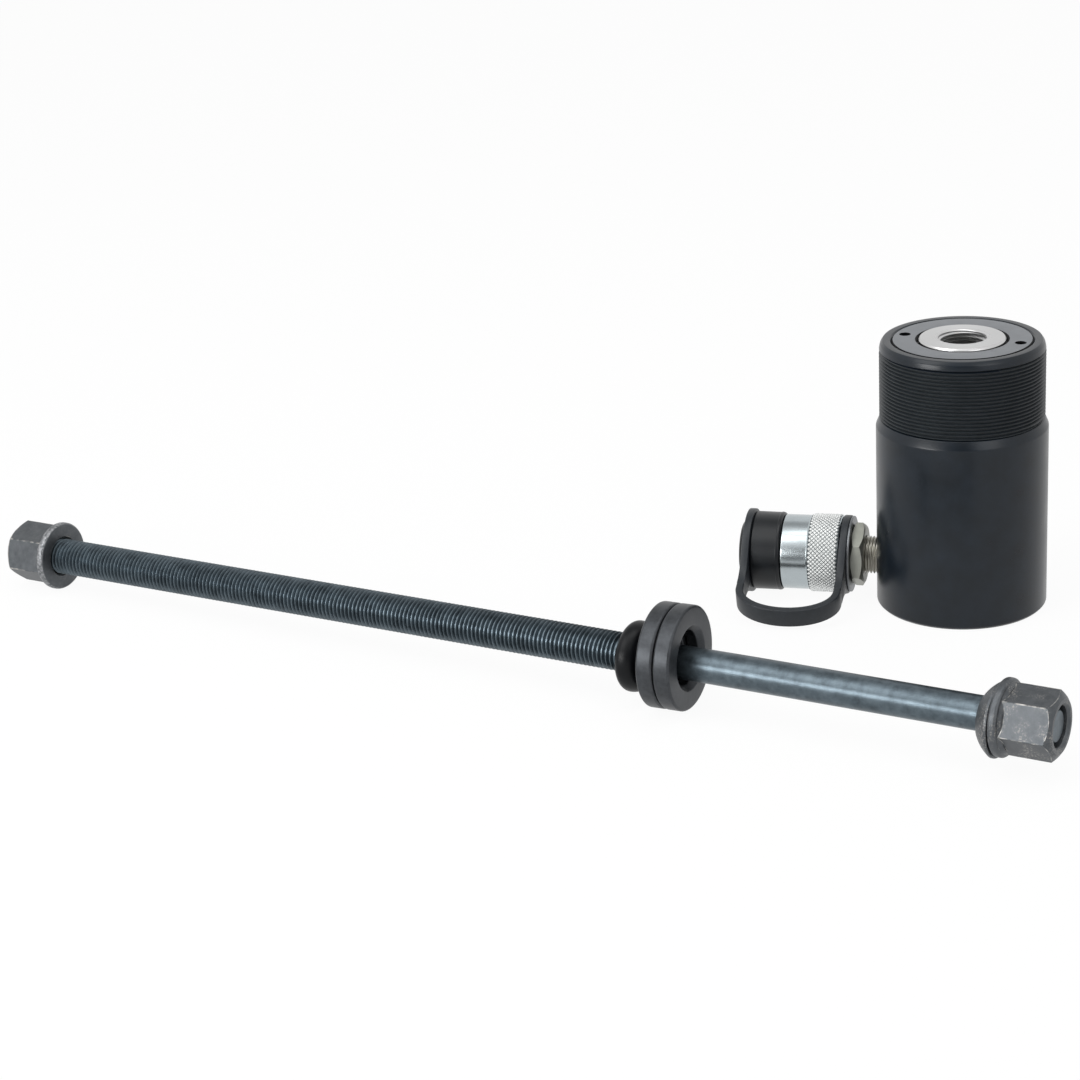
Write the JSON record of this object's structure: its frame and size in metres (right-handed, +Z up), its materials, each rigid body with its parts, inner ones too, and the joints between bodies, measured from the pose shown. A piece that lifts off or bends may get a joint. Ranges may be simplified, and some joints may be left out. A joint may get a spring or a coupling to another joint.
{
  "type": "hollow plunger cylinder",
  "caption": "Hydraulic cylinder with a hollow plunger, a threaded upper end, a screw coupler under a strapped dust cap, and a draw spindle set with nuts and rings.",
  "frame": {"origin": "centre of the cylinder's base, on the ground", "axes": "+Z up along the plunger, -X out along the coupler, -Y towards the spindle lying in front"},
  "size_m": [0.4896, 0.223, 0.1188],
  "materials": {
    "blackened_steel": "blackened, satin",
    "gland_steel": "phosphated, satin",
    "bright_steel": "machined bright",
    "tube_steel": "drawn and ground",
    "zinc_plate": "bright zinc plate",
    "olive_zinc": "zinc-nickel plate, satin",
    "pipe_steel": "plated, satin",
    "spindle_steel": "phosphated, oiled",
    "nut_steel": "phosphated, worn edges",
    "ring_steel": "blackened, satin",
    "spring_steel": "oil tempered",
    "bearing_steel": "polished",
    "bronze": "turned",
    "black_pvc": "satin moulded",
    "seal_polyurethane": "smooth",
    "black_rubber": "dull",
    "wear_ring": "fabric filled resin",
    "backup_plastic": "natural"
  },
  "bodies": {
    "barrel": {"cylinder_body": "blackened_steel", "center_tube": "tube_steel", "tube_seal": "black_rubber", "return_spring": "spring_steel", "gland_nut": "gland_steel", "gland_bush": "bronze", "wiper_ring": "seal_polyurethane", "port_nipple": "pipe_steel", "coupler_body": "olive_zinc", "neck_disc": "zinc_plate", "snap_ring": "spring_steel", "valve_seat": "pipe_steel", "valve_spring": "spring_steel", "front_seal": "black_rubber", "cap_strap": "black_pvc"},
    "plunger": {"plunger": "bright_steel", "guide_ring": "wear_ring", "piston_seal": "seal_polyurethane", "backup_ring": "backup_plastic", "inner_seal": "seal_polyurethane"},
    "collar": {"knurled_collar": "zinc_plate"},
    "valve": {"valve_ball": "bearing_steel"},
    "dust_cap": {"dust_cap": "black_pvc"},
    "spindle": {"spindle": "spindle_steel", "rubber_ring": "black_rubber"},
    "far_nut": {"far_nut": "nut_steel"},
    "rear_ring": {"rear_ring": "ring_steel"},
    "front_ring": {"front_ring": "ring_steel"},
    "ball_washer": {"ball_washer": "nut_steel"},
    "near_nut": {"near_nut": "nut_steel"}
  },
  "joints": [
    {"name": "plunger_slide", "type": "slide", "parent": "barrel", "child": "plunger", "axis": [0, 0, 1], "range_m": [0, 0.041], "stiffness_N_per_m": 2200, "springref_m": -0.015, "deforming": ["return_spring"]},
    {"name": "collar_spin", "type": "hinge", "parent": "barrel", "child": "collar", "pos_m": [-0.06, 0, 0.0186], "axis": [-1, 0, 0], "continuous": true},
    {"name": "valve_slide", "type": "slide", "parent": "barrel", "child": "valve", "axis": [1, 0, 0], "range_m": [0, 0.0015], "stiffness_N_per_m": 150, "springref_m": -0.002, "deforming": ["valve_spring"]},
    {"name": "cap_pull", "type": "slide", "parent": "barrel", "child": "dust_cap", "axis": [-1, 0, 0], "range_m": [0, 0.014], "deforming": ["cap_strap"]},
    {"name": "spindle_lift", "type": "slide", "parent": "barrel", "child": "spindle", "axis": [0, 0, 1], "range_m": [0, 0.15]},
    {"name": "far_nut_travel", "type": "slide", "parent": "spindle", "child": "far_nut", "axis": [0.9592, -0.2823, 0.0131], "range_m": [0, 0.285]},
    {"name": "rear_ring_slide", "type": "slide", "parent": "spindle", "child": "rear_ring", "axis": [0.9592, -0.2823, 0.0131], "range_m": [0, 0.09]},
    {"name": "front_ring_slide", "type": "slide", "parent": "rear_ring", "child": "front_ring", "axis": [0.9592, -0.2823, 0.0131], "range_m": [0, 0.03]},
    {"name": "ball_washer_slide", "type": "slide", "parent": "spindle", "child": "ball_washer", "axis": [0.9592, -0.2823, 0.0131], "range_m": [0, 0.004]},
    {"name": "near_nut_spin", "type": "hinge", "parent": "ball_washer", "child": "near_nut", "pos_m": [0.03444, -0.16763, 0.02161], "axis": [0.9592, -0.2823, 0.0131], "range_deg": [0, 721]}
  ],
  "couplings": [
    {"joint": "near_nut_spin", "follows": "ball_washer_slide", "rad_per_m": 3141.6}
  ]
}
